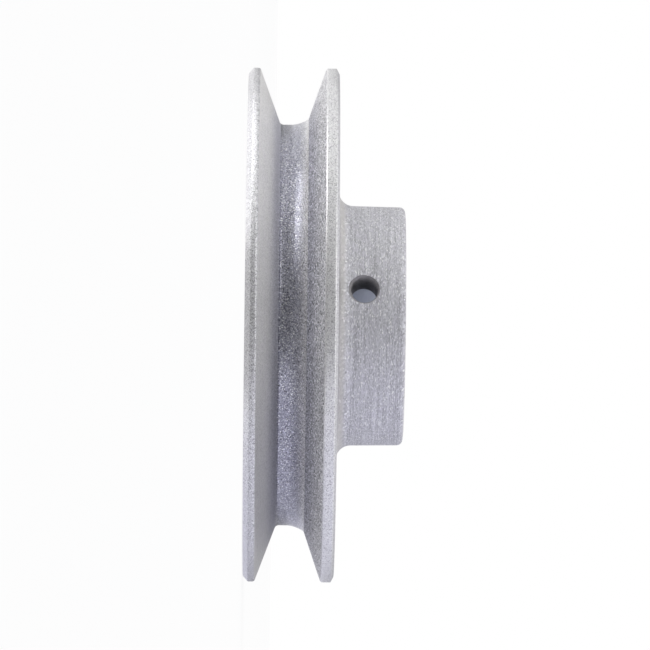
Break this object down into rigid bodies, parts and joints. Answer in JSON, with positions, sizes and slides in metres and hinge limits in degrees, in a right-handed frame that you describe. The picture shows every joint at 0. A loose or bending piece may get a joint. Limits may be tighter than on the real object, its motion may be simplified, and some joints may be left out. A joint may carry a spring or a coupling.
{
  "type": "motor pulley",
  "caption": "Cast aluminium V-belt pulley with one groove, a hub on one side, a keyed bore and a radial grub-screw hole.",
  "frame": {"origin": "centre of the bore, on the flat back face of the rim, which the pulley stands on", "axes": "+Z along the bore from the back face to the hub's end; the grub-screw hole and the keyway are on the -Y side"},
  "size_m": [0.1, 0.1, 0.0307],
  "materials": {
    "aluminium": "bare cast aluminium, turned, with a fine sparkling grain"
  },
  "bodies": {
    "root": {"pulley": "aluminium"}
  },
  "joints": []
}
